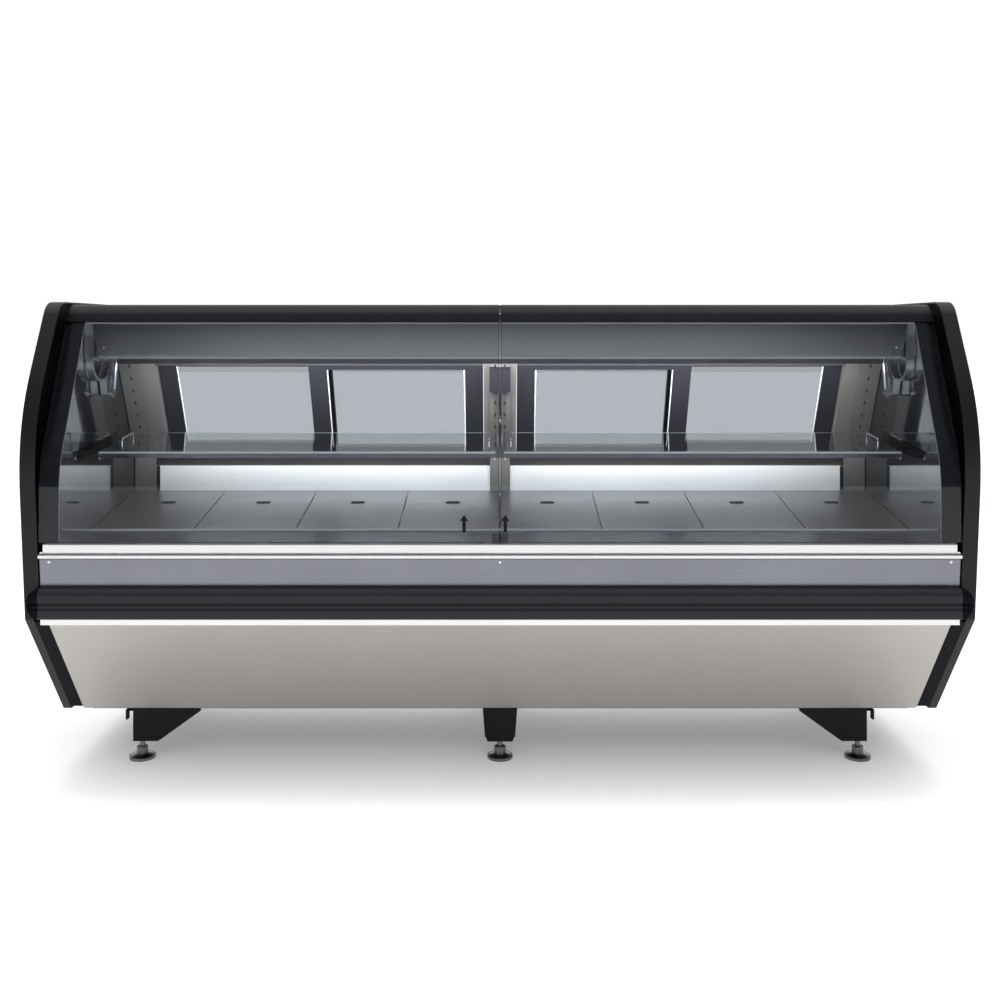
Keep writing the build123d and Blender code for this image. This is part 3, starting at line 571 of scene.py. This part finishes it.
# ---- painted highlights: light strips on the ledge's lip and along the shelves' top edges ----
# The lip is real; its light, diffuse colour is a painted highlight of its polished fold.
LEDGE_LIP = [Vector((0.1482, 0.7018)), Vector((0.1518, 0.7018))]
LEDGE_LIP_DEPTH = (-0.0002, 0.0042)
LEDGE_HALF_X = 1.196
strip("ledge_lip_painted_highlight", LEDGE_LIP, *LEDGE_LIP_DEPTH, -LEDGE_HALF_X, LEDGE_HALF_X,
      LIP_PAINTED_HIGHLIGHT, "case", "front_ledge")

TRIM_LOW, TRIM_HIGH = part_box("shelf_front_trims")
TRIM_S = TRIM_LOW.y - FRONT_Y - 0.0001
TRIM_INNER_X = 0.012
# A light strip along the top of each shelf trim is a painted highlight; the trim below stays dark.
SHELF_HIGHLIGHT_HEIGHT = 0.005
SHELF_HIGHLIGHT_DEPTH = (-0.0012, 0.0)
SHELF_EDGE = [Vector((TRIM_S, TRIM_HIGH.z)), Vector((TRIM_S, TRIM_HIGH.z - SHELF_HIGHLIGHT_HEIGHT))]
for side, sign in SIDES.items():
    strip(f"shelf_edge_painted_highlight_{side}", SHELF_EDGE, *SHELF_HIGHLIGHT_DEPTH, sign * TRIM_INNER_X,
          sign * TRIM_HIGH.x, LIGHT_TRIM_AND_HIGHLIGHT, "case", "shelf_front_trims")

# ---- dark seals beside the return panel ----
RETURN_HALF_X = 1.118
SEAL_S, SEAL_Z = 0.7800, 0.7230
SEAL_WIDTH, SEAL_HEIGHT, SEAL_DEPTH = 0.0108, 0.080, 0.004
SEAL_OUTLINE = [(0, 0), (SEAL_WIDTH, 0), (SEAL_WIDTH, SEAL_HEIGHT), (0, SEAL_HEIGHT)]
for side in SIDES:
    left_x = RETURN_HALF_X if side == "right" else -RETURN_HALF_X - SEAL_WIDTH
    plate(f"return_panel_seal_{side}", SEAL_OUTLINE, place(SEAL_S, SEAL_Z, left_x), UPRIGHT,
          -SEAL_DEPTH, SEAL_BLACK, "case")

# ---- painted highlights: light strips down both sides of each door pane ----
DOOR_HIGHLIGHT_WIDTH = 0.003
DOOR_HIGHLIGHT_DEPTH = (0.0002, 0.0022)
for door in ("left_outer", "left_inner", "right_inner", "right_outer"):
    low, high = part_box(f"door_glass_{door}")
    foot = Vector((high.y - FRONT_Y - GLASS_T * math.cos(DOOR_LEAN), low.z))
    head = Vector((low.y - FRONT_Y, high.z - GLASS_T * math.sin(DOOR_LEAN)))
    for edge, x, step in (("left", low.x, DOOR_HIGHLIGHT_WIDTH), ("right", high.x, -DOOR_HIGHLIGHT_WIDTH)):
        strip(f"door_bead_{door}_{edge}", [foot, head], *DOOR_HIGHLIGHT_DEPTH, x, x + step,
              LIGHT_TRIM_AND_HIGHLIGHT, f"door_{door}", "door_frame")

# ---- screws of the fascia and the uprights ----
PANEL_SCREW_RADIUS = 0.006
FASCIA_NORMAL = (0, -1, -0.1)
FASCIA_SCREW_S, FASCIA_SCREW_Z, FASCIA_SCREW_RADIUS = 0.0243, 0.642, 0.0042
fascia_places = [(place(FASCIA_SCREW_S, FASCIA_SCREW_Z, x), FASCIA_NORMAL)
                 for x in (-1.182, 0.0, 1.182)]
screws("fascia_screws", fascia_places, FASCIA_SCREW_RADIUS, CHROME, "case")

UPRIGHT_FOOT_S, UPRIGHT_FOOT_Z = 0.772, 0.8295
UP_THE_LEAN = Vector((0, -math.sin(DOOR_LEAN), math.cos(DOOR_LEAN)))
LEAN_NORMAL = Vector((0, -math.cos(DOOR_LEAN), -math.sin(DOOR_LEAN)))


def on_upright(x, up):
    """A point on the front face of the uprights, a length up the lean from its foot."""
    s = UPRIGHT_FOOT_S - up * math.sin(DOOR_LEAN)
    z = UPRIGHT_FOOT_Z + up * math.cos(DOOR_LEAN)
    return place(s, z, x)


upright_places = [(on_upright(x, up), LEAN_NORMAL) for x in (-1.182, -1.146, 1.146, 1.182)
                  for up in (0.035, 0.405)]
screws("upright_screws", upright_places, PANEL_SCREW_RADIUS, CHROME, "case")

# ---- painted shadow: black plates over the mouths of the bracket slots ----
SLOT_ROWS = 8
SLOT_PITCH = 0.045
FIRST_SLOT = 0.0689
SLOT_DEPTH = 0.0004
SLOT_SHADOW_OUTLINE = [(-0.0022, 0.0), (0.0022, 0.0), (0.0022, 0.0132), (-0.0022, 0.0132)]
SLOT_COLUMNS = {"left": -1.165, "middle_left": -0.015, "middle_right": 0.015, "right": 1.165}
# Black plates stand in for the shade inside the slots.
for column, x in SLOT_COLUMNS.items():
    for row in range(SLOT_ROWS):
        foot = on_upright(x, FIRST_SLOT + row * SLOT_PITCH)
        plate(f"slot_painted_shadow_{column}_{row + 1}", SLOT_SHADOW_OUTLINE, foot, UP_THE_LEAN, SLOT_DEPTH,
              SEAL_BLACK, "case")

# ---- screws of the rear panel ----
REAR_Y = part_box("rear_lower_panel")[1].y
rear_places = [(Vector((x, REAR_Y, z)), (0, 1, 0)) for x in (-1.18, -0.59, 0.0, 0.59, 1.18)
               for z in (0.19, 0.78)]
screws("rear_panel_screws", rear_places, PANEL_SCREW_RADIUS, CHROME, "case")

# ---- black cups under the finger holes of the deck plates ----
TRAY_LOW, TRAY_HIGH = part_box("deck_trays")
TRAYS = 8
TRAY_GAP = 0.0035
TRAY_PITCH = (TRAY_HIGH.x - TRAY_LOW.x + TRAY_GAP) / TRAYS
HOLE_S = 0.637
HOLE_Z = 0.7008
HOLE_LENGTH, HOLE_WIDTH = 0.0436, 0.0176
DECK_SLOPE = math.atan2(0.089, 0.608)
CUP_SIDES = 24
# (distance outside the hole's edge, height over the plate), from the rim down to the bottom.
CUP_PROFILE = [(0.0018, 0.0036), (0.0018, 0.0044), (-0.0008, 0.0044), (-0.0012, -0.010)]


def finger_cup(name, x):
    """Shallow oval cup with a thin rim, seated in one hole."""
    bm = bmesh.new()
    at = Matrix.Translation(place(HOLE_S, HOLE_Z, x)) @ Matrix.Rotation(DECK_SLOPE, 4, "X")
    straight = (HOLE_LENGTH - HOLE_WIDTH) / 2
    rings = []
    for margin, height in CUP_PROFILE:
        radius = HOLE_WIDTH / 2 + margin
        ring = []
        for i in range(CUP_SIDES):
            angle = 2 * math.pi * (i + 0.5) / CUP_SIDES
            end = math.copysign(straight, math.cos(angle))
            spot = Vector((end + radius * math.cos(angle), radius * math.sin(angle), height))
            ring.append(bm.verts.new(at @ spot))
        rings.append(ring)
    for ring, following in zip(rings, rings[1:]):
        for i in range(CUP_SIDES):
            j = (i + 1) % CUP_SIDES
            bm.faces.new((ring[i], ring[j], following[j], following[i]))
    bm.faces.new(rings[-1])
    add_piece(name, bm, SEAL_BLACK, "case")


for index in range(TRAYS):
    finger_cup(f"finger_cup_{index + 1}", TRAY_LOW.x + TRAY_PITCH * (index + 0.5) - TRAY_GAP / 2)

# ---- display window of the controller, at the rear ----
BOX_LOW, BOX_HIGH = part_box("control_box")
WINDOW = [(-0.044, -0.019), (0.044, -0.019), (0.044, 0.019), (-0.044, 0.019)]
WINDOW_CENTRE = Vector((BOX_LOW.x + 0.065, BOX_HIGH.y - 0.0005, 0.720))
WINDOW_THICKNESS = 0.002
plate("display_window", WINDOW, WINDOW_CENTRE, UPRIGHT, WINDOW_THICKNESS, DISPLAY, "case",
      right=(-1, 0, 0))

# ---- screws in the outer faces of the end panels ----
END_SCREWS = ((0.83, 0.20), (0.83, 0.78), (0.33, 0.20))  # section points
for side, sign in SIDES.items():
    end_places = [(place(s, z, sign * END_FACE_X), (sign, 0, 0)) for s, z in END_SCREWS]
    screws(f"end_panel_screws_{side}", end_places, PANEL_SCREW_RADIUS, SATIN_BLACK, "case")

# ---- floor ----
FLOOR_HALF = 30
FLOOR_GREY = (0.86, 0.86, 0.86, 1)
FLOOR_GLOW = 0.22
floor_mesh = bpy.data.meshes.new("floor")
bm = bmesh.new()
bmesh.ops.create_grid(bm, x_segments=1, y_segments=1, size=FLOOR_HALF)
bm.to_mesh(floor_mesh)
bm.free()
floor = bpy.data.objects.new("floor", floor_mesh)
bpy.context.scene.collection.objects.link(floor)
floor_mat, _, _, floor_shader = new_material("studio_floor")
floor_shader.inputs["Base Color"].default_value = FLOOR_GREY
floor_shader.inputs["Roughness"].default_value = 0.8
floor_shader.inputs["Specular IOR Level"].default_value = 0.1
floor_shader.inputs["Emission Color"].default_value = (1.0, 1.0, 1.0, 1)
floor_shader.inputs["Emission Strength"].default_value = FLOOR_GLOW
floor_mesh.materials.append(floor_mat)

# ---- studio: dark on the camera's side, white behind the case, white to the camera itself ----
STUDIO_DARK = (0.16, 0.165, 0.185, 1)
STUDIO_WHITE = (1.02, 1.02, 1.02, 1)
world = bpy.data.worlds.new("studio")
bpy.context.scene.world = world
world.use_nodes = True
w_nodes = world.node_tree.nodes
w_links = world.node_tree.links
w_coords = w_nodes.new("ShaderNodeTexCoord")
w_split = w_nodes.new("ShaderNodeSeparateXYZ")
w_ramp = w_nodes.new("ShaderNodeValToRGB")
w_range = w_nodes.new("ShaderNodeMapRange")
w_range.inputs["From Min"].default_value = -1.0
w_range.inputs["From Max"].default_value = 1.0
w_links.new(w_coords.outputs["Generated"], w_split.inputs["Vector"])
w_links.new(w_split.outputs["Y"], w_range.inputs["Value"])
w_links.new(w_range.outputs["Result"], w_ramp.inputs["Fac"])
dark_stop, white_stop = w_ramp.color_ramp.elements
dark_stop.position, dark_stop.color = 0.15, STUDIO_DARK
white_stop.position, white_stop.color = 0.72, STUDIO_WHITE
w_path = w_nodes.new("ShaderNodeLightPath")
w_mix = w_nodes.new("ShaderNodeMix")
w_mix.data_type = "RGBA"
w_mix.inputs["B"].default_value = STUDIO_WHITE
w_links.new(w_path.outputs["Is Camera Ray"], w_mix.inputs["Factor"])
w_links.new(w_ramp.outputs["Color"], w_mix.inputs["A"])
w_links.new(w_mix.outputs["Result"], w_nodes["Background"].inputs["Color"])


def add_light(name, kind, power, mirrored):
    """A light in the scene; mirrored says whether shiny surfaces and glass show it."""
    data = bpy.data.lights.new(name, kind)
    data.energy = power
    lamp = bpy.data.objects.new(name, data)
    lamp.visible_glossy = mirrored
    lamp.visible_transmission = mirrored
    bpy.context.scene.collection.objects.link(lamp)
    return lamp


def softbox(name, location, target, width, height, power, mirrored):
    """Rectangular studio lamp, aimed at a target."""
    lamp = add_light(name, "AREA", power, mirrored)
    lamp.data.shape = "RECTANGLE"
    lamp.data.size, lamp.data.size_y = width, height
    lamp.location = location
    lamp.rotation_euler = (Vector(target) - Vector(location)).to_track_quat("-Z", "Y").to_euler()


softbox("overhead", location=(0, -0.4, 3.4), target=(0, 0, 0),
        width=4.6, height=1.6, power=45, mirrored=True)
softbox("display_light", location=place(0.45, 1.14, 0), target=place(0.76, 0.76, 0),
        width=2.1, height=0.10, power=23, mirrored=False)
sky = add_light("ceiling_glow", "SUN", power=2.0, mirrored=False)
sky.data.angle = math.radians(75)
sky.rotation_euler = (math.radians(22), 0, 0)

# ---- camera: level, square to the front, its view shifted down ----
CAMERA_BACK = 2.925
CAMERA_HEIGHT = 1.25
camera_data = bpy.data.cameras.new("camera")
camera_data.lens = 40.5
camera_data.sensor_width = 36
camera_data.shift_y = -0.17
camera = bpy.data.objects.new("camera", camera_data)
camera.location = (0, FRONT_Y - CAMERA_BACK, CAMERA_HEIGHT)
camera.rotation_euler = (math.pi / 2, 0, 0)
bpy.context.scene.collection.objects.link(camera)
bpy.context.scene.camera = camera
bpy.context.scene.view_settings.view_transform = "Standard"
